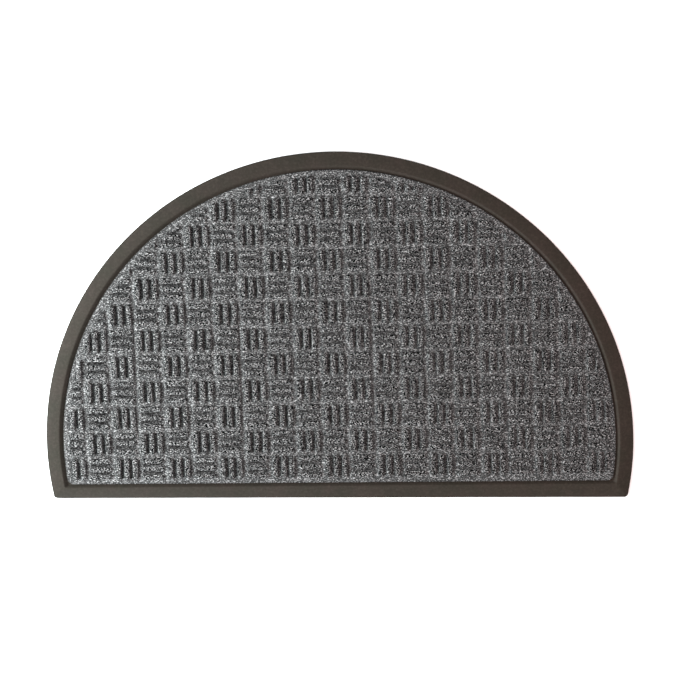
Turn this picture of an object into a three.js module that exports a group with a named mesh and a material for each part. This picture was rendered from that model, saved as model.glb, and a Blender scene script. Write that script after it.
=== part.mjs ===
// Half-round floor mat: a moulded rubber tray with a sloped border, and a needle-felt insert
// with a pressed basket pattern of raised bars, laid in the tray's pocket.
// Millimetres, +Z up. The origin is on the floor under the middle of the mat's bounding box.
// X runs along the straight edge, and +Y points to the arc.
import * as THREE from "three";

// Size of the whole mat
const WIDTH = 750;
const DEPTH = 450;
const ARC_RADIUS = WIDTH / 2;
const ARC_CENTRE_Y = DEPTH / 2 - ARC_RADIUS;
const EDGE_DROP = DEPTH - ARC_RADIUS; // from the arc's centre down to the straight edge

// Heights above the floor
const POCKET_FLOOR_Z = 3;
const SEAT_GAP = 0.3;
const FELT_BOTTOM_Z = POCKET_FLOOR_Z + SEAT_GAP;
const FELT_GROUND_Z = 5.8;
const BAR_TOP_Z = 7.9;

// The rubber border in cross-section, from the outer edge over the crest to the groove
const CREST_INSET = 16.9;
const GROOVE_INSET = 21.2;
const BORDER = [
  { inset: 0, z: 0 },
  { inset: 0, z: 2.2 },
  { inset: 0.25, z: 2.62 },
  { inset: 0.9, z: 2.95 },
  { inset: 15.6, z: 6.4 },
  { inset: 16.4, z: 6.6 },
  { inset: 17.3, z: 6.3 },
  { inset: 20.8, z: 3.4 },
  { inset: GROOVE_INSET, z: POCKET_FLOOR_Z },
];
const NARROWING = 0.58; // the inner slope's width on the straight side against that on the arc
const OUTER_CORNER = 5;
const INNER_CORNER = 1.2;
// The pocket's straight edge is a little out of parallel with the mat's.
const POCKET_SKEW = THREE.MathUtils.degToRad(0.3);

// The felt's outline and the profile of its pressed edge
const FELT_INSET = 22.4;
const FELT_STRAIGHT_INSET = 20.9;
const FELT_CORNER = 8.5;
const FELT_RIM = [
  { inset: 0, z: FELT_BOTTOM_Z },
  { inset: 0, z: 4.9 },
  { inset: 0.6, z: 5.3 },
  { inset: 3.6, z: FELT_GROUND_Z },
];

// The basket pattern: square tiles of three bars, upright and lying by turns
const TILE = 33.6;
const TILE_ROWS = 12;
const TILE_COLUMNS_EACH_WAY = 11;
const PATTERN_TURN = THREE.MathUtils.degToRad(0.75);
const FIRST_TILE = new THREE.Vector2(-3.4, -182.2); // middle of an upright tile in the first row
const BAR_SPACING = 10.85;
const BAR_WIDTH = 8;
const BAR_LENGTH = 29.4;
const SIDE_TAPER = 1;
const END_TAPER = 1.8;
const TAPER_SHARE = 0.3; // the most of a short or narrow bar that each taper takes
const PLAIN_MARGIN = 6.2; // unpatterned felt all round
const SHORTEST_SIDE = 5;
const SIDE_SHARES = [1, 0.6, 0.2, -0.2]; // where a bar crosses the margin it is made narrower
const NARROWEST_SHARE = 0.3;
const UNEVENNESS = 0.3; // how far a pressed bar strays from its place, either way
const STRAY_STEP = (Math.sqrt(5) - 1) / 2; // its multiples never fall into a pattern
const UPRIGHT_CLIMB = Math.SQRT1_2; // a bar that climbs more than this runs at the straight edge

const UPPER_STEPS = 84; // the arc's half circle
const LOWER_STEPS = 6; // each end of the arc, below its centre
const CORNER_STEPS = 5;

// Points of a half-round outline, counter-clockwise seen from above: the arc from its lower
// right end, the left corner, the straight edge and the right corner. radius is the arc's, drop
// is how far the straight edge lies below the arc's centre, corner is the radius of the two
// corners, and skew turns the outline about the arc's centre. Every outline has the same number
// of points.
function outline(radius, drop, corner, skew) {
  const points = [];
  const sweep = (x, y, r, from, to, steps) => {
    for (let i = 0; i < steps; i++) {
      const angle = from + ((to - from) * i) / steps;
      points.push(new THREE.Vector2(x + r * Math.cos(angle), y + r * Math.sin(angle)));
    }
  };
  const start = -Math.asin((drop - corner) / (radius - corner));
  const end = Math.PI - start;
  const cornerX = Math.sqrt((radius - corner) ** 2 - (drop - corner) ** 2);
  const cornerY = corner - drop;
  const down = 1.5 * Math.PI;
  sweep(0, 0, radius, start, 0, LOWER_STEPS);
  sweep(0, 0, radius, 0, Math.PI, UPPER_STEPS);
  sweep(0, 0, radius, Math.PI, end, LOWER_STEPS);
  sweep(-cornerX, cornerY, corner, end, down, CORNER_STEPS);
  points.push(new THREE.Vector2(-cornerX, -drop));
  sweep(cornerX, cornerY, corner, -Math.PI / 2, start, CORNER_STEPS);
  const middle = new THREE.Vector2(0, 0);
  return points.map((p) => p.rotateAround(middle, skew).add({ x: 0, y: ARC_CENTRE_Y }));
}

// A shell under construction: a list of points and a list of triangles
function emptyShell() {
  return { points: [], triangles: [] };
}

// Adds a closed ring of flat points at one height and returns their numbers.
function addRing(shell, flatPoints, z) {
  return flatPoints.map((p) => shell.points.push([p.x, p.y, z]) - 1);
}

// Joins two rings of equal length by a band of triangles. Seen from outside, the first ring
// runs to the right below the second.
function addBand(shell, lower, upper) {
  const count = lower.length;
  for (let i = 0; i < count; i++) {
    const next = (i + 1) % count;
    shell.triangles.push([lower[i], lower[next], upper[next]]);
    shell.triangles.push([lower[i], upper[next], upper[i]]);
  }
}

// Closes a ring with a flat cap facing up or down, leaving the holes open.
function addCap(shell, ring, faceUp, holes = []) {
  const flat = (numbers) =>
    numbers.map((n) => new THREE.Vector2(shell.points[n][0], shell.points[n][1]));
  const numbers = [...ring, ...holes.flat()];
  for (const [a, b, c] of THREE.ShapeUtils.triangulateShape(flat(ring), holes.map(flat))) {
    const [p, q, r] = [numbers[a], numbers[b], numbers[c]];
    shell.triangles.push(faceUp ? [p, q, r] : [p, r, q]);
  }
}

// Stacks rings into a shell with a cap underneath, and returns the last ring's numbers.
function stackRings(shell, rings) {
  const numbered = rings.map((ring) => addRing(shell, ring.points, ring.z));
  addCap(shell, numbered[0], false);
  for (let i = 1; i < numbered.length; i++) {
    addBand(shell, numbered[i - 1], numbered[i]);
  }
  return numbered[numbered.length - 1];
}

function shellGeometry(shell) {
  const geometry = new THREE.BufferGeometry();
  geometry.setAttribute(
    "position",
    new THREE.Float32BufferAttribute(shell.points.flat(), 3),
  );
  geometry.setIndex(shell.triangles.flat());
  geometry.computeVertexNormals();
  return geometry;
}

function trayGeometry() {
  const shell = emptyShell();
  const rings = BORDER.map(({ inset, z }) => {
    const pastCrest = Math.max(inset - CREST_INSET, 0);
    const straightInset = inset - pastCrest * (1 - NARROWING);
    const corner = THREE.MathUtils.lerp(OUTER_CORNER, INNER_CORNER, inset / GROOVE_INSET);
    const skew = POCKET_SKEW * Math.min(inset / CREST_INSET, 1);
    return { points: outline(ARC_RADIUS - inset, EDGE_DROP - straightInset, corner, skew), z };
  });
  addCap(shell, stackRings(shell, rings), true);
  return shellGeometry(shell);
}

// The stretch of a line that lies inside the patterned area, as two distances along it, or null
// where it is too short. from is a point on the line and along is its unit direction.
function patternedStretch(from, along) {
  const radius = ARC_RADIUS - FELT_INSET - PLAIN_MARGIN;
  const drop = EDGE_DROP - FELT_STRAIGHT_INSET - PLAIN_MARGIN;
  const place = from.clone().sub({ x: 0, y: ARC_CENTRE_Y });
  const middle = -place.dot(along);
  const half = Math.sqrt(Math.max(radius ** 2 - place.lengthSq() + middle ** 2, 0));
  let low = Math.max(middle - half, -BAR_LENGTH / 2);
  let high = Math.min(middle + half, BAR_LENGTH / 2);
  const inward = new THREE.Vector2(-Math.sin(POCKET_SKEW), Math.cos(POCKET_SKEW));
  const height = place.dot(inward) + drop;
  const climb = along.dot(inward);
  if (Math.abs(climb) > UPRIGHT_CLIMB) {
    low = Math.max(low, -height / climb);
  } else if (height < 0) {
    return null;
  }
  return high - low < SHORTEST_SIDE ? null : [low, high];
}

// One bar's foot and top as two rings of four points, or null where the bar would lie outside.
function barRings(centre, along, across) {
  const sides = [-1, 1].map((side) => {
    for (const share of SIDE_SHARES) {
      const offset = (side * share * BAR_WIDTH) / 2;
      const from = centre.clone().addScaledVector(across, offset);
      const stretch = patternedStretch(from, along);
      if (stretch) return { side, offset, stretch };
    }
    return null;
  });
  if (sides.includes(null)) return null;
  const width = sides[1].offset - sides[0].offset;
  const sideTaper = Math.min(SIDE_TAPER, TAPER_SHARE * width);
  const ring = (level) => {
    const lines = sides.map(({ side, offset, stretch: [low, high] }) => {
      const endTaper = Math.min(END_TAPER, TAPER_SHARE * (high - low)) * level;
      const at = (distance) =>
        centre
          .clone()
          .addScaledVector(across, offset - side * sideTaper * level)
          .addScaledVector(along, distance);
      return [at(low + endTaper), at(high - endTaper)];
    });
    return [lines[0][0], lines[1][0], lines[1][1], lines[0][1]];
  };
  return width < NARROWEST_SHARE * BAR_WIDTH ? null : { foot: ring(0), top: ring(1) };
}

// A small stray distance, different for each number and the same on every run
function stray(number) {
  const share = (number * STRAY_STEP) % 1;
  return UNEVENNESS * (2 * share - 1);
}

// Every bar of the basket pattern
function patternBars() {
  const middle = new THREE.Vector2(0, 0);
  const row = new THREE.Vector2(1, 0).rotateAround(middle, PATTERN_TURN);
  const column = new THREE.Vector2(0, 1).rotateAround(middle, PATTERN_TURN);
  const bars = [];
  let count = 0;
  for (let j = 0; j < TILE_ROWS; j++) {
    for (let i = -TILE_COLUMNS_EACH_WAY; i <= TILE_COLUMNS_EACH_WAY; i++) {
      const along = (i + j) % 2 === 0 ? column : row;
      const across = new THREE.Vector2(along.y, -along.x);
      const tile = FIRST_TILE.clone()
        .addScaledVector(row, i * TILE)
        .addScaledVector(column, j * TILE);
      for (const step of [-1, 0, 1]) {
        count += 2;
        const centre = tile
          .clone()
          .addScaledVector(across, step * BAR_SPACING + stray(count))
          .addScaledVector(along, stray(count + 1));
        const bar = barRings(centre, along, across);
        if (bar) bars.push(bar);
      }
    }
  }
  return bars;
}

function feltGeometry() {
  const shell = emptyShell();
  const rings = FELT_RIM.map(({ inset, z }) => ({
    points: outline(
      ARC_RADIUS - FELT_INSET - inset,
      EDGE_DROP - FELT_STRAIGHT_INSET - inset,
      FELT_CORNER - inset,
      POCKET_SKEW,
    ),
    z,
  }));
  const ground = stackRings(shell, rings);
  const feet = [];
  for (const bar of patternBars()) {
    const foot = addRing(shell, bar.foot, FELT_GROUND_Z);
    const top = addRing(shell, bar.top, BAR_TOP_Z);
    addBand(shell, foot, top);
    addCap(shell, top, true);
    feet.push(foot);
  }
  addCap(shell, ground, true, feet);
  return shellGeometry(shell);
}

const rubber = new THREE.MeshStandardMaterial({
  color: new THREE.Color("#4a4643"),
  roughness: 0.62,
  metalness: 0,
});
const felt = new THREE.MeshStandardMaterial({
  color: new THREE.Color("#646464"),
  roughness: 0.98,
  metalness: 0,
});

function named(name, geometry, material) {
  const mesh = new THREE.Mesh(geometry, material);
  mesh.name = name;
  return mesh;
}

const mat = new THREE.Group();
mat.name = "half_round_mat";
mat.add(named("rubber_tray", trayGeometry(), rubber));
mat.add(named("felt_insert", feltGeometry(), felt));
export default mat;
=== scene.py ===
# Half-round floor mat: a rubber tray with a sloped border and a needle-felt insert with a
# pressed basket pattern. Laid out as a Blender add-on and run as a script, in metres.
import math
import random

import bmesh
import bpy
from mathutils import Matrix, Vector, noise


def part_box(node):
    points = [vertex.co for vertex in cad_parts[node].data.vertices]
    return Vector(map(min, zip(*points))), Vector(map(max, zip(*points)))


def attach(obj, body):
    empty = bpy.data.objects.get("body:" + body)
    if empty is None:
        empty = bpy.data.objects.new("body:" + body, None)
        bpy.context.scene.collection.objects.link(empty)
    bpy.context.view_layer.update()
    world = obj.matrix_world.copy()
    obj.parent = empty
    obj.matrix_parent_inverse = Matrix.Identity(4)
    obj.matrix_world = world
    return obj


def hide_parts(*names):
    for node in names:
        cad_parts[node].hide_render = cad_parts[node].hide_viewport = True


bl_info = {
    "name": "Half-round floor mat",
    "version": (1, 0, 0),
    "blender": (4, 5, 0),
    "location": "3D View > Sidebar > Mat",
    "description": "Builds a half-round rubber and felt doormat and its studio",
    "category": "Object",
}

MM = 0.001

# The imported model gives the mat's size and where its pieces lie.
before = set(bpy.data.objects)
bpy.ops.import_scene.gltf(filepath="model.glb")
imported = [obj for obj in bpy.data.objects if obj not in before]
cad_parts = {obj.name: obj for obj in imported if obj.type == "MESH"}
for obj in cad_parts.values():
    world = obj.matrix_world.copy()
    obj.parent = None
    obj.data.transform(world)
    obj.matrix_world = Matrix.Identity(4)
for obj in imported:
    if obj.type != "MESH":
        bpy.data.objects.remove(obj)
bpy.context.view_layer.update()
TRAY_LOW, TRAY_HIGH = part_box("rubber_tray")
FELT_LOW, FELT_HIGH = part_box("felt_insert")
MAT_WIDTH = TRAY_HIGH[0] - TRAY_LOW[0]
ARC_RADIUS = MAT_WIDTH / 2
ARC_CENTRE = Vector((0, TRAY_HIGH[1] - ARC_RADIUS, 0))
EDGE_DROP = ARC_CENTRE.y - TRAY_LOW[1]
UP = Vector((0, 0, 1))

# Steps round every half-round loop
ARC_STEPS = 220
CORNER_STEPS = 8
STRAIGHT_STEPS = 110

# Heights above the floor
POCKET_FLOOR_Z = 3 * MM
CREST_Z = TRAY_HIGH[2]
FELT_GROUND_Z = 5.8 * MM
BAR_TOP_Z = FELT_HIGH[2]

# The rubber border in cross-section: inset from the outer edge, height and rounding radius
CREST_INSET = 16.9 * MM
GROOVE_INSET = 21.2 * MM
BORDER_CORNERS = [
    (4 * MM, 0, 0),
    (0, 0, 0.4 * MM),
    (0, 2.75 * MM, 1.1 * MM),
    (CREST_INSET, CREST_Z + 0.12 * MM, 2.2 * MM),
    (GROOVE_INSET, POCKET_FLOOR_Z, 0.5 * MM),
    (27 * MM, POCKET_FLOOR_Z, 0),
]
ROUNDING_STEPS = 5
OUTER_CORNER = 5 * MM
INNER_CORNER = 1.2 * MM

# The inner slope's width on the straight side, against that on the arc
NARROWING = 0.58

# How far the pocket's straight edge is out of parallel with the mat's
POCKET_SKEW = math.radians(0.3)

# The tray's surface wanders a little above this height: (length, amount) of each ripple
TRAY_STILL_BELOW = 0.5 * MM
TRAY_RIPPLES = [(45 * MM, 0.12 * MM), (9 * MM, 0.05 * MM)]

# The felt's outline and the profile of its pressed edge: inset, height and rounding radius
FELT_INSET = 22.4 * MM
FELT_STRAIGHT_INSET = 20.9 * MM
FELT_CORNER = 8.5 * MM
FELT_RIM = [
    (0, FELT_LOW[2], 0),
    (0, 5.2 * MM, 0.7 * MM),
    (3.6 * MM, FELT_GROUND_Z, 0),
]

# The basket pattern of the felt: its tiles, the centre of the first one, the plain margin
# round the pattern and the shortest bar that is still made
TILE_ROWS = 12
TILE_COLUMNS_EACH_WAY = 11
FIRST_TILE = Vector((-3.4 * MM, -182.2 * MM, 0))
PLAIN_MARGIN = 6.2 * MM
SHORTEST_BAR = 5 * MM

# A bar that crosses the margin is made narrower: the places tried for each long side, as
# shares of its half width, and the narrowest share of its width that is still a bar
SIDE_SHARES = (1, 0.6, 0.2, -0.2)
NARROWEST_SHARE = 0.3

# How far each bar strays: its length and width as shares, and its place along and across
STRAY_SEED = 8
LENGTH_SHARES = (0.965, 1.01)
WIDTH_SHARES = (0.94, 1.03)
STRAY_ALONG = 0.3 * MM
STRAY_ACROSS = 0.25 * MM

# The length of the large ripple of the bars, the (length, amount) of the small one, and how
# much of both is up and down
RIPPLE_LENGTH = 12 * MM
SMALL_RIPPLE = (5 * MM, 0.25 * MM)
UPWARD_RIPPLE = 0.6

# One bar: points of its rounded foot, cuts in each long side, radius of its ends, and its
# levels as (inset from the foot, share of its rise). No level is drawn in further than a
# share of the half width.
CIRCLE_POINTS = 12
SIDE_CUTS = 2
ROUND_END = 3.8 * MM
MOST_DRAWN_IN = 0.7
BAR_LEVELS = [
    (-0.2 * MM, 0),
    (0.15 * MM, 0.15),
    (0.55 * MM, 0.65),
    (1.1 * MM, 0.9),
    (2.1 * MM, 1),
]

# How much deeper the felt is pressed between the bars of one tile: deepest across the lay of
# its fibres, which run along X. A gap comes up again within a length from each bar's end.
DEEP_GAP = 1.5 * MM
SHALLOW_GAP = 1.15 * MM
GAP_RUN_OUT = 2.7 * MM

# Share of a deep gap's depth on the open right side of its tile, and how far all depths fade
# towards the right of the mat
OPEN_SIDE_SHARE = 0.8
DEPTH_FADE = 0.55

# Studio: the point the lights face, then for each light its name, azimuth from -X towards -Y
# and elevation in degrees, distance and size in metres, power and colour, and last the
# strength of the white air
LIT_POINT = Vector((0, -0.02, 0))
LIGHTS = [
    ("left", 0, 24, 1.08, 0.3, 20.2, (0.96, 1, 1)),
    ("near left", 60, 14, 0.92, 0.3, 7.6, (0.87, 0.96, 1)),
    ("far left", -40, 35, 1.1, 0.4, 4.6, (0.8, 0.96, 1)),
    ("far off", 20, 25, 2.4, 0.8, 31, (0.83, 0.97, 1)),
    ("right", 180, 55, 1.3, 0.6, 3.4, (1, 0.33, 0.26)),
]
AIR_STRENGTH = 1.25

# The camera's aim, its sensor's width in millimetres and how far it sees in metres
CAMERA_AIM = Vector((0.016, -0.0313, 0))
SENSOR_WIDTH = 36
CAMERA_REACH = 50

# The studio floor: half its width and the size of its faint patches in metres, and its greys
FLOOR_HALF_WIDTH = 6
FLOOR_PATCH = 0.8
FLOOR_GREYS = (0.88, 0.9)

# The felt's paleness from a deep gap, over the pressed ground, up a bar's side, to its top
# The dark deep gap and the dark bar sides in this ramp are painted shade
FELT_PALENESS_AND_PAINTED_SHADE = [(0.1, 0.22), (0.33, 0.8), (0.43, 0.9), (0.49, 0.2), (0.74, 0.29), (0.9, 0.76)]

# The pattern's paleness and painted shade even out towards the right: how far they even out there
EVEN_PALENESS = 0.64
PATTERN_FADE = 0.6

# How far the flecks fade into an even grey, from the pressed ground up a bar's side
FLECK_FADE = [(0.44, 0.32), (0.6, 0.0)]
EVEN_HEATHER = 0.17

# How many times longer than wide a tuft of fibre is, and the turns in degrees of the layers
# of light and of dark tufts
TUFT_STRETCH = 2.3
LIGHT_TURNS = (-25, 12, 60)
DARK_TURNS = (-60, -5, 30)

# The felt's tufts from all dark to all light, how sharply light ones stand out at the left of
# the mat, and how much more sharply towards its right
TUFT_RANGE = (-0.08, 0.16)
SHARPNESS = 3.1
RIGHT_SHARPNESS = 1.6

# Depth of the relief that the tufts give the felt
TUFT_DEPTH = 1 * MM

# The rubber's mottling, dust and grain, each with its size. The lists are ramps over that
# noise: from darker to lighter patches, the roughness of the two, and how pale the dust is.
MOTTLE_SIZE = 30 * MM
PATCHES = [(0.35, 0), (0.65, 1)]
PATCH_ROUGHNESS = [(0.3, 0.5), (0.7, 0.6)]
DUST_SIZE = 3 * MM
DUST = [(0.35, 0.82), (0.5, 0.95), (0.68, 1.3)]
GRAIN_SIZE = 0.8 * MM
GRAIN_DEPTH = 0.15 * MM
GRAIN_STRENGTH = 0.35

# Shares of the rubber's colour: in darker and lighter patches, and a painted light cast, cool left
# and warm right
DARK_PATCH = (0.9, 0.95, 0.91)
LIGHT_PATCH = (1.08, 1.03, 1.04)
LEFT_PAINTED_LIGHT_TINT = (0.99, 1, 1)
RIGHT_PAINTED_LIGHT_TINT = (1.07, 0.97, 0.93)


class MatSettings(bpy.types.PropertyGroup):
    """Sizes and colours of the mat"""

    tile: bpy.props.FloatProperty(
        name="Tile", description="Side of one square of the basket pattern",
        default=33.6 * MM, unit="LENGTH",
    )
    bar_spacing: bpy.props.FloatProperty(
        name="Bar spacing", description="Distance between the bars of one tile",
        default=10.85 * MM, unit="LENGTH",
    )
    bar_width: bpy.props.FloatProperty(
        name="Bar width", description="Width of a bar at its foot",
        default=7.9 * MM, unit="LENGTH",
    )
    bar_length: bpy.props.FloatProperty(
        name="Bar length", description="Length of a whole bar at its foot",
        default=29.3 * MM, unit="LENGTH",
    )
    pattern_turn: bpy.props.FloatProperty(
        name="Pattern turn", description="How far the pattern lies askew in the tray",
        default=math.radians(0.75), subtype="ANGLE",
    )
    unevenness: bpy.props.FloatProperty(
        name="Unevenness", description="How far the pressed bars stray from straight",
        default=0.5 * MM, unit="LENGTH",
    )
    fleck: bpy.props.FloatProperty(
        name="Fleck", description="Width of the light and dark tufts of fibre in the felt",
        default=0.88 * MM, unit="LENGTH",
    )
    dark_fibre: bpy.props.FloatVectorProperty(
        name="Dark fibre", description="Colour of the felt's dark fibres",
        default=(0.001, 0.001, 0.001), subtype="COLOR", min=0, max=1,
    )
    light_fibre: bpy.props.FloatVectorProperty(
        name="Light fibre", description="Colour of the felt's light fibres",
        default=(0.63, 0.63, 0.63), subtype="COLOR", min=0, max=1,
    )
    rubber: bpy.props.FloatVectorProperty(
        name="Rubber", description="Colour of the moulded rubber",
        default=(0.0235, 0.0203, 0.0173), subtype="COLOR", min=0, max=1,
    )


class StudioSettings(bpy.types.PropertyGroup):
    """Camera and lights"""

    elevation: bpy.props.FloatProperty(
        name="Elevation", description="Camera's height angle above the floor",
        default=math.radians(76.37), subtype="ANGLE",
    )
    azimuth: bpy.props.FloatProperty(
        name="Azimuth", description="Camera's place round the mat, from +Y towards +X",
        default=math.radians(12.7), subtype="ANGLE",
    )
    roll: bpy.props.FloatProperty(
        name="Roll", description="Camera's turn about its own axis",
        default=math.radians(-0.95), subtype="ANGLE",
    )
    distance: bpy.props.FloatProperty(
        name="Distance", description="From the camera to the point it looks at",
        default=5.0, unit="LENGTH",
    )
    lens: bpy.props.FloatProperty(
        name="Lens", description="Focal length for a 36 mm wide sensor",
        default=202.5, unit="CAMERA",
    )


def own_mesh(bm, name):
    """Finish a bmesh as a smooth-shaded object that stands in the scene."""
    mesh = bpy.data.meshes.new(name)
    bm.to_mesh(mesh)
    bm.free()
    mesh.shade_smooth()
    piece = bpy.data.objects.new(name, mesh)
    bpy.context.scene.collection.objects.link(piece)
    return piece


def swept(bm, start, centre, angle, steps, shift=(0, 0, 0)):
    """Sweep a vertex round a centre, or along a shift per step, and return the last vertex."""
    done = bmesh.ops.spin(
        bm, geom=[start], cent=centre, axis=UP, dvec=shift, angle=angle, steps=steps,
        space=Matrix(), use_merge=False, use_duplicate=False,
    )
    return next(e for e in done["geom_last"] if isinstance(e, bmesh.types.BMVert))


def half_round_loop(inset, straight_inset, corner, z, skew):
    """A closed half-round loop. skew turns its straight edge about the arc's centre."""
    radius = ARC_RADIUS - inset
    drop = EDGE_DROP - straight_inset
    low = math.asin((drop - corner) / (radius - corner))
    reach = math.sqrt((radius - corner) ** 2 - (drop - corner) ** 2)
    turn = math.pi / 2 - low
    middle = Vector((0, ARC_CENTRE.y, z))
    corner_y = ARC_CENTRE.y - drop + corner
    step = (2 * reach / STRAIGHT_STEPS, 0, 0)
    bm = bmesh.new()
    place = middle + radius * Vector((math.cos(low), -math.sin(low), 0))
    first = bm.verts.new(place)
    vert = swept(bm, first, middle, math.pi + 2 * low, ARC_STEPS)
    vert = swept(bm, vert, (-reach, corner_y, z), turn, CORNER_STEPS)
    vert = swept(bm, vert, middle, 0, STRAIGHT_STEPS, step)
    vert = swept(bm, vert, (reach, corner_y, z), turn, CORNER_STEPS)
    bmesh.ops.pointmerge(bm, verts=[first, vert], merge_co=place)
    bmesh.ops.rotate(bm, cent=middle, matrix=Matrix.Rotation(skew, 3, UP), verts=bm.verts)
    return bm


def added(bm, part):
    """Move a part into a bmesh, and return the edges that came with it."""
    spare = bpy.data.meshes.new("spare")
    part.to_mesh(spare)
    part.free()
    count = len(bm.edges)
    bm.from_mesh(spare)
    bpy.data.meshes.remove(spare)
    bm.edges.ensure_lookup_table()
    return bm.edges[count:]


def rounded_profile(corners):
    """Rows of (inset, height) along a cross-section, with each corner rounded to its radius."""
    rows = []
    for place, (inset, height, radius) in enumerate(corners):
        here = Vector((inset, height))
        if radius == 0:
            rows.append(here)
            continue
        back = (Vector(corners[place - 1][:2]) - here).normalized()
        ahead = (Vector(corners[place + 1][:2]) - here).normalized()
        half = back.angle(ahead) / 2
        reach = radius / math.tan(half)
        centre = here + (back + ahead).normalized() * radius / math.sin(half)
        start = here + back * reach - centre
        bend = -start.angle_signed(here + ahead * reach - centre)
        for step in range(ROUNDING_STEPS + 1):
            turned = Matrix.Rotation(bend * step / ROUNDING_STEPS, 2) @ start
            rows.append(centre + turned)
    return rows


def half_round_wall(rings):
    """Half-round loops joined into one wall, its first loop closed by a face."""
    bm = bmesh.new()
    loops = [added(bm, half_round_loop(*ring)) for ring in rings]
    for lower, upper in zip(loops, loops[1:]):
        bmesh.ops.bridge_loops(bm, edges=lower + upper)
    bmesh.ops.contextual_create(bm, geom=loops[0])
    return bm


def ripple(point, length, amount):
    """A smooth stray movement that depends on the place alone."""
    return noise.noise_vector(point / length) * amount


# Rubber tray


def tray_mesh():
    """The tray: a flat underside, the border's cross-section all round, and a pocket floor."""
    noise.seed_set(STRAY_SEED)
    rings = []
    for inset, height in rounded_profile(BORDER_CORNERS):
        past = max(inset - CREST_INSET, 0)
        straight_inset = inset - past + past * NARROWING
        share = min(inset / GROOVE_INSET, 1)
        corner = OUTER_CORNER + (INNER_CORNER - OUTER_CORNER) * share
        skew = POCKET_SKEW * min(inset / CREST_INSET, 1)
        rings.append((inset, straight_inset, corner, height, skew))
    bm = half_round_wall(rings)
    bmesh.ops.contextual_create(bm, geom=[e for e in bm.edges if e.is_boundary])
    for vert in bm.verts:
        if vert.co.z > TRAY_STILL_BELOW:
            large, small = (ripple(vert.co, *sizes) for sizes in TRAY_RIPPLES)
            vert.co += large + small
    bmesh.ops.recalc_face_normals(bm, faces=bm.faces)
    return bm


# Felt insert


def patterned_stretch(start, along, longest):
    """The stretch of a line through start that lies inside the patterned area, or None."""
    radius = ARC_RADIUS - FELT_INSET - PLAIN_MARGIN
    drop = EDGE_DROP - FELT_STRAIGHT_INSET - PLAIN_MARGIN
    place = start - ARC_CENTRE
    middle = -place.dot(along)
    half = math.sqrt(max(radius**2 - place.length_squared + middle**2, 0))
    low = max(middle - half, -longest / 2)
    high = min(middle + half, longest / 2)
    inward = Matrix.Rotation(POCKET_SKEW, 3, UP) @ Vector((0, 1, 0))
    height = place.dot(inward) + drop
    climb = along.dot(inward)
    # A line up the mat is cut at the margin, and one along it is in or out as a whole.
    if abs(climb) > 0.5:
        low = max(low, -height / climb)
    elif height < 0:
        return None
    return (low, high) if high - low > SHORTEST_BAR else None


def bar_places(settings):
    """Every bar: centre, directions, the stretch of each long side and the gaps beside it."""
    rng = random.Random(STRAY_SEED)
    row = Matrix.Rotation(settings.pattern_turn, 3, UP) @ Vector((1, 0, 0))
    column = UP.cross(row)
    for up in range(TILE_ROWS):
        for aside in range(-TILE_COLUMNS_EACH_WAY, TILE_COLUMNS_EACH_WAY + 1):
            tile = FIRST_TILE + (row * aside + column * up) * settings.tile
            faded = 1 - DEPTH_FADE * (0.5 + tile.x / ARC_RADIUS / 2)
            if (aside + up) % 2 == 0:
                along, depth, open_side = column, faded * DEEP_GAP, OPEN_SIDE_SHARE
            else:
                along, depth, open_side = row, faded * SHALLOW_GAP, 0
            across = along.cross(UP)
            for step in (-1, 0, 1):
                length = settings.bar_length * rng.uniform(*LENGTH_SHARES)
                width = settings.bar_width * rng.uniform(*WIDTH_SHARES)
                centre = tile + across * (step * settings.bar_spacing)
                centre += along * rng.uniform(-STRAY_ALONG, STRAY_ALONG)
                centre += across * rng.uniform(-STRAY_ACROSS, STRAY_ACROSS)
                sides = []
                for side in (-1, 1):
                    for share in SIDE_SHARES:
                        offset = side * share * width / 2
                        stretch = patterned_stretch(centre + across * offset, along, length)
                        if stretch:
                            sides.append((offset, stretch))
                            break
                gaps = (depth if step > -1 else 0, depth if step < 1 else open_side * depth)
                if len(sides) == 2 and sides[1][0] - sides[0][0] > NARROWEST_SHARE * width:
                    yield centre, along, across, sides, gaps


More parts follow.
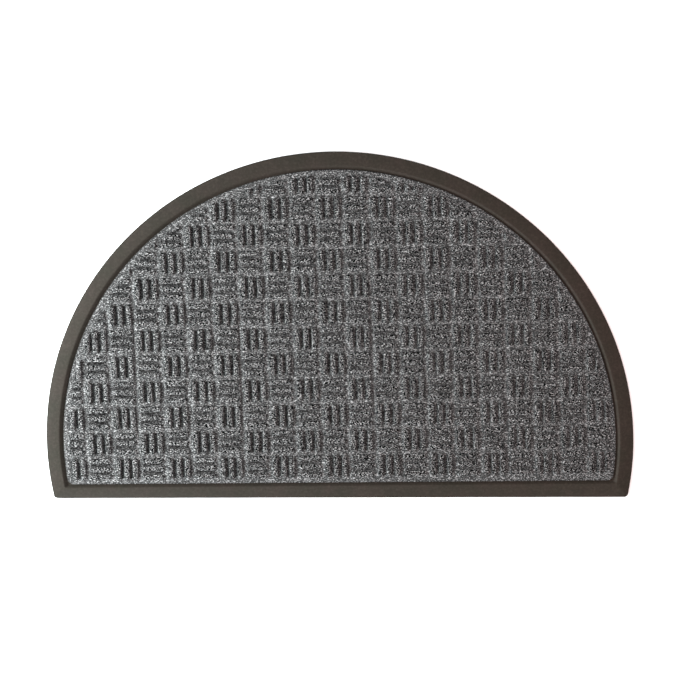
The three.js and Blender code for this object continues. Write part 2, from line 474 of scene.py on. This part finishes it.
def bar_mesh(sides, gaps, rise):
    """One bar along Y: a rounded loop on the ground, raised and drawn in level by level."""
    (left, left_stretch), (right, right_stretch) = sides
    half_width = (right - left) / 2
    low = (left_stretch[0] + right_stretch[0]) / 2
    high = (left_stretch[1] + right_stretch[1]) / 2
    half_length = (high - low) / 2
    radius = min(ROUND_END, half_width)
    bm = bmesh.new()
    bmesh.ops.create_circle(bm, segments=CIRCLE_POINTS, radius=radius)
    half_step = Matrix.Rotation(math.pi / CIRCLE_POINTS, 3, UP)
    bmesh.ops.rotate(bm, cent=(0, 0, 0), matrix=half_step, verts=bm.verts)
    for vert in bm.verts:
        vert.co.x += math.copysign(half_width - radius, vert.co.x)
        vert.co.y += math.copysign(half_length - radius, vert.co.y)
    long_sides = [e for e in bm.edges if e.verts[0].co.y * e.verts[1].co.y < 0]
    bmesh.ops.subdivide_edges(bm, edges=long_sides, cuts=SIDE_CUTS)
    loop, verts = list(bm.edges), list(bm.verts)
    size = Vector((half_width, half_length, 1))
    for level, (inset, share) in enumerate(BAR_LEVELS):
        if level > 0:
            grown = bmesh.ops.extrude_edge_only(bm, edges=loop)["geom"]
            loop = [e for e in grown if isinstance(e, bmesh.types.BMEdge)]
            verts = [e for e in grown if isinstance(e, bmesh.types.BMVert)]
        drawn_in = min(inset, MOST_DRAWN_IN * half_width)
        new_size = Vector((half_width - drawn_in, half_length - drawn_in, 1))
        ratio = (new_size.x / size.x, new_size.y / size.y, 1)
        bmesh.ops.scale(bm, vec=ratio, verts=verts)
        for vert in verts:
            run = (half_length - abs(vert.co.y)) / GAP_RUN_OUT
            drop = gaps[vert.co.x > 0] * (1 - share) ** 2 * max(min(run, 1), 0)
            vert.co.z = share * rise - drop
        size = new_size
    bmesh.ops.contextual_create(bm, geom=loop)
    # Ends that follow the margin lean with it.
    low_lean = (right_stretch[0] - left_stretch[0]) / 2
    high_lean = (right_stretch[1] - left_stretch[1]) / 2
    for vert in bm.verts:
        upper = 0.5 + vert.co.y / (2 * half_length)
        lean = low_lean * (1 - upper) + high_lean * upper
        vert.co.y += vert.co.x / half_width * lean
    bmesh.ops.translate(bm, vec=((left + right) / 2, (low + high) / 2, 0), verts=bm.verts)
    return bm


def felt_mesh(settings):
    """The felt: one closed sheet whose top is pressed into bars."""
    noise.seed_set(STRAY_SEED)
    bm = bmesh.new()
    rise = BAR_TOP_Z - FELT_GROUND_Z
    for centre, along, across, sides, gaps in bar_places(settings):
        bar = bar_mesh(sides, gaps, rise)
        place = Matrix((across, along, UP)).transposed().to_4x4()
        place.translation = centre + UP * FELT_GROUND_Z
        bmesh.ops.transform(bar, matrix=place, verts=bar.verts)
        added(bm, bar)
    for vert in bm.verts:
        stray = ripple(vert.co, RIPPLE_LENGTH, settings.unevenness)
        stray += ripple(vert.co, *SMALL_RIPPLE)
        stray.z *= UPWARD_RIPPLE * (vert.co.z - FELT_GROUND_Z) / rise
        vert.co += stray
    added(bm, half_round_wall([
        (FELT_INSET + inset, FELT_STRAIGHT_INSET + inset, FELT_CORNER - inset, height, POCKET_SKEW)
        for inset, height in rounded_profile(FELT_RIM)
    ]))
    bmesh.ops.triangle_fill(bm, use_beauty=True, edges=[e for e in bm.edges if e.is_boundary])
    bmesh.ops.recalc_face_normals(bm, faces=bm.faces)
    return bm


# Finishes


def add_node(tree, kind, sockets=None, **values):
    """Add a shader node. A socket in sockets is linked, and any other value is set."""
    made = tree.nodes.new(kind)
    for name, value in values.items():
        setattr(made, name, value)
    for name, value in (sockets or {}).items():
        if isinstance(value, bpy.types.NodeSocket):
            tree.links.new(value, made.inputs[name])
        else:
            made.inputs[name].default_value = value
    return made


def new_finish(name):
    """A material with an empty node tree and its output, and the object's own coordinates."""
    material = bpy.data.materials.new(name)
    material.use_nodes = True
    tree = material.node_tree
    tree.nodes.clear()
    output = add_node(tree, "ShaderNodeOutputMaterial")
    place = add_node(tree, "ShaderNodeTexCoord").outputs["Object"]
    return material, tree, output, place


def ramp(tree, factor, stops):
    """A colour ramp from (position, grey) stops."""
    made = add_node(tree, "ShaderNodeValToRGB", {"Fac": factor})
    elements = made.color_ramp.elements
    while len(elements) < len(stops):
        elements.new(0.5)
    for element, (position, grey) in zip(elements, stops):
        element.position = position
        element.color = (grey, grey, grey, 1)
    return made.outputs["Color"]


def mixed(tree, factor, first, second, blend="MIX"):
    """Two colours mixed by a factor. The numbers are the node's sockets for colours."""
    first, second = (
        value if isinstance(value, bpy.types.NodeSocket) else (*value, 1)
        for value in (first, second)
    )
    return add_node(
        tree, "ShaderNodeMix", {0: factor, 6: first, 7: second},
        data_type="RGBA", blend_type=blend,
    ).outputs[2]


def share_between(tree, value, low, high, most=1.0):
    """Where a value lies between low and high, from 0 to most."""
    return add_node(
        tree, "ShaderNodeMapRange",
        {"Value": value, "From Min": low, "From Max": high, "To Max": most},
    ).outputs["Result"]


def scaled(colour, shares):
    """A colour with each channel multiplied by its share."""
    return tuple(channel * share for channel, share in zip(colour, shares))


def calculated(tree, operation, first, second):
    """The result of a sum on two values or sockets."""
    return add_node(
        tree, "ShaderNodeMath", {0: first, 1: second}, operation=operation,
    ).outputs[0]


def noise_field(tree, place, size, detail, roughness, distortion=0.0):
    """Noise whose lumps are about size across."""
    return add_node(
        tree, "ShaderNodeTexNoise",
        {"Vector": place, "Scale": 1 / size, "Detail": detail, "Roughness": roughness,
         "Distortion": distortion},
    ).outputs["Fac"]


def relief(tree, height, strength, depth):
    """The surface's direction, as a height field bends it."""
    return add_node(
        tree, "ShaderNodeBump", {"Height": height, "Strength": strength, "Distance": depth},
    ).outputs[0]


def surface(tree, output, **sockets):
    """End a finish in one shader. Each socket is given by its name, with _ for spaces."""
    named = {name.replace("_", " "): value for name, value in sockets.items()}
    shader = add_node(tree, "ShaderNodeBsdfPrincipled", named)
    tree.links.new(shader.outputs[0], output.inputs["Surface"])


def rubber_finish(settings):
    """Dark moulded rubber: matt, finely grained, mottled, dusty, with a painted light cast browner
    to the right.
    """
    material, tree, output, place = new_finish("moulded rubber")
    mottle = noise_field(tree, place, MOTTLE_SIZE, detail=4, roughness=0.6)
    colour = mixed(
        tree, ramp(tree, mottle, PATCHES),
        scaled(settings.rubber, DARK_PATCH), scaled(settings.rubber, LIGHT_PATCH),
    )
    dust = ramp(tree, noise_field(tree, place, DUST_SIZE, detail=5, roughness=0.7), DUST)
    colour = mixed(tree, 1.0, colour, dust, "MULTIPLY")
    # Painted light: the rubber is tinted cooler at the left and warmer, browner at the right, as a
    # cool and a warm lamp would.
    spot = add_node(tree, "ShaderNodeSeparateXYZ", {"Vector": place}).outputs
    right = share_between(tree, spot["X"], -ARC_RADIUS, ARC_RADIUS)
    painted_light_tint = mixed(tree, right, LEFT_PAINTED_LIGHT_TINT, RIGHT_PAINTED_LIGHT_TINT)
    colour = mixed(tree, 1.0, colour, painted_light_tint, "MULTIPLY")
    grain = noise_field(tree, place, GRAIN_SIZE, detail=3, roughness=0.6)
    surface(
        tree, output, Base_Color=colour, Roughness=ramp(tree, mottle, PATCH_ROUGHNESS),
        Specular_IOR_Level=0.055, Specular_Tint=(1, 0.95, 0.86, 1),
        Normal=relief(tree, grain, GRAIN_STRENGTH, GRAIN_DEPTH),
    )
    return material


def tufts(tree, place, width, length, turns):
    """Streaky noise laid in several directions and places, the strongest streak on top."""
    top = None
    for turn in turns:
        laid = add_node(
            tree, "ShaderNodeMapping",
            {"Vector": place, "Rotation": (0, 0, math.radians(turn)),
             "Scale": (1 / length, 1 / width, 1 / width), "Location": (turn, 3 * turn, turn)},
        ).outputs[0]
        streak = noise_field(tree, laid, 1, detail=1, roughness=0.5, distortion=0.3)
        top = streak if top is None else calculated(tree, "MAXIMUM", top, streak)
    return top


def felt_finish(settings):
    """Heather needle-felt: dark and light tufts, pale ground, painted shade in the gaps and up bar
    sides.
    """
    material, tree, output, place = new_finish("heather needle-felt")
    size = settings.fleck
    light = tufts(tree, place, size, TUFT_STRETCH * size, LIGHT_TURNS)
    dark = tufts(tree, place, size, TUFT_STRETCH * size, DARK_TURNS)
    height = calculated(tree, "SUBTRACT", light, dark)
    spot = add_node(tree, "ShaderNodeSeparateXYZ", {"Vector": place}).outputs
    rise = share_between(tree, spot["Z"], FELT_GROUND_Z - DEEP_GAP, BAR_TOP_Z)
    right = share_between(tree, spot["X"], -ARC_RADIUS, ARC_RADIUS, PATTERN_FADE)
    # Painted shade: the ramp darkens the deep gaps and the bars' sides, and it evens out towards
    # the right of the mat.
    pressed = mixed(tree, right, ramp(tree, rise, FELT_PALENESS_AND_PAINTED_SHADE), (EVEN_PALENESS,) * 3)
    added_power = calculated(tree, "MULTIPLY", right, RIGHT_SHARPNESS)
    power = calculated(tree, "ADD", added_power, SHARPNESS)
    heather = calculated(tree, "POWER", share_between(tree, height, *TUFT_RANGE), power)
    shown = mixed(tree, ramp(tree, rise, FLECK_FADE), heather, (EVEN_HEATHER,) * 3)
    colour = mixed(tree, shown, settings.dark_fibre, settings.light_fibre)
    surface(
        tree, output, Base_Color=mixed(tree, 1.0, colour, pressed, "MULTIPLY"),
        Roughness=0.95, Specular_IOR_Level=0.0, Sheen_Weight=0.005, Sheen_Roughness=0.6,
        Normal=relief(tree, height, 1, TUFT_DEPTH),
    )
    return material


def floor_finish():
    """Plain pale studio floor."""
    material, tree, output, place = new_finish("studio floor")
    patches = noise_field(tree, place, FLOOR_PATCH, detail=2, roughness=0.5)
    darker, lighter = ((grey,) * 3 for grey in FLOOR_GREYS)
    surface(
        tree, output, Base_Color=mixed(tree, patches, darker, lighter),
        Roughness=0.9, Specular_IOR_Level=0.1,
    )
    return material


# Operators: one for each piece, and one for the studio


class MAT_OT_rubber_tray(bpy.types.Operator):
    """Build the moulded rubber tray with its sloped border"""

    bl_idname = "mat.rubber_tray"
    bl_label = "Rubber tray"

    def execute(self, context):
        piece = own_mesh(tray_mesh(), "tray_moulded")
        piece.data.materials.append(rubber_finish(context.scene.half_round_mat))
        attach(piece, "root")
        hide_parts("rubber_tray")
        return {"FINISHED"}


class MAT_OT_felt_insert(bpy.types.Operator):
    """Build the needle-felt insert with its pressed basket pattern"""

    bl_idname = "mat.felt_insert"
    bl_label = "Felt insert"

    def execute(self, context):
        bm = felt_mesh(context.scene.half_round_mat)
        # Only the underside's faces look straight down.
        flat_area = sum(f.calc_area() for f in bm.faces if f.normal.z < -0.9)
        piece = own_mesh(bm, "felt_pressed")
        piece.data.materials.append(felt_finish(context.scene.half_round_mat))
        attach(piece, "root")
        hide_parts("felt_insert")
        return {"FINISHED"}


def area_light(name, azimuth, elevation, distance, size, power, colour):
    """A square soft light that faces the mat."""
    lamp = bpy.data.lights.new(name, "AREA")
    lamp.shape = "SQUARE"
    lamp.size = size
    lamp.energy = power
    lamp.color = colour
    light = bpy.data.objects.new(name, lamp)
    flat = distance * math.cos(math.radians(elevation))
    from_target = Vector((
        -flat * math.cos(math.radians(azimuth)), -flat * math.sin(math.radians(azimuth)),
        distance * math.sin(math.radians(elevation)),
    ))
    light.location = LIT_POINT + from_target
    light.rotation_euler = from_target.to_track_quat("Z", "Y").to_euler()
    bpy.context.scene.collection.objects.link(light)


def photo_camera(studio):
    """A camera at the photograph's viewing angle, with the arc side uppermost."""
    flat = math.cos(studio.elevation)
    toward = Vector((
        flat * math.sin(studio.azimuth), flat * math.cos(studio.azimuth),
        math.sin(studio.elevation),
    ))
    right = Vector((0, 1, 0)).cross(toward).normalized()
    above = toward.cross(right)
    turn = Matrix.Rotation(studio.roll, 3, toward)
    axes = Matrix((turn @ right, turn @ above, toward)).transposed()
    data = bpy.data.cameras.new("photo camera")
    data.sensor_width = SENSOR_WIDTH
    data.lens = studio.lens
    data.clip_end = CAMERA_REACH
    camera = bpy.data.objects.new("photo camera", data)
    place = Matrix.Translation(CAMERA_AIM + toward * studio.distance)
    camera.matrix_world = place @ axes.to_4x4()
    bpy.context.scene.collection.objects.link(camera)
    bpy.context.scene.camera = camera


class MAT_OT_studio(bpy.types.Operator):
    """Set up the pale floor, the soft lights and the camera"""

    bl_idname = "mat.studio"
    bl_label = "Studio"

    def execute(self, context):
        bm = bmesh.new()
        bmesh.ops.create_grid(bm, x_segments=1, y_segments=1, size=FLOOR_HALF_WIDTH)
        floor = own_mesh(bm, "studio_floor")
        floor.data.materials.append(floor_finish())
        for light in LIGHTS:
            area_light(*light)
        world = bpy.data.worlds.new("studio air")
        world.use_nodes = True
        background = world.node_tree.nodes["Background"]
        background.inputs["Color"].default_value = (1, 1, 1, 1)
        background.inputs["Strength"].default_value = AIR_STRENGTH
        context.scene.world = world
        context.scene.view_settings.view_transform = "Standard"
        photo_camera(context.scene.mat_studio)
        return {"FINISHED"}


class MAT_PT_half_round(bpy.types.Panel):
    """Lists the mat's settings and its operators"""

    bl_label = "Half-round mat"
    bl_idname = "MAT_PT_half_round"
    bl_space_type = "VIEW_3D"
    bl_region_type = "UI"
    bl_category = "Mat"

    def draw(self, context):
        column = self.layout.column()
        for group in (context.scene.half_round_mat, context.scene.mat_studio):
            for name in group.__annotations__:
                column.prop(group, name)
        for operator in OPERATORS:
            column.operator(operator.bl_idname)


OPERATORS = (MAT_OT_rubber_tray, MAT_OT_felt_insert, MAT_OT_studio)
CLASSES = (MatSettings, StudioSettings, *OPERATORS, MAT_PT_half_round)


def register():
    for cls in CLASSES:
        bpy.utils.register_class(cls)
    bpy.types.Scene.half_round_mat = bpy.props.PointerProperty(type=MatSettings)
    bpy.types.Scene.mat_studio = bpy.props.PointerProperty(type=StudioSettings)


def unregister():
    del bpy.types.Scene.mat_studio
    del bpy.types.Scene.half_round_mat
    for cls in reversed(CLASSES):
        bpy.utils.unregister_class(cls)


def main():
    register()
    bpy.ops.mat.rubber_tray()
    bpy.ops.mat.felt_insert()
    bpy.ops.mat.studio()


if __name__ == "__main__":
    main()
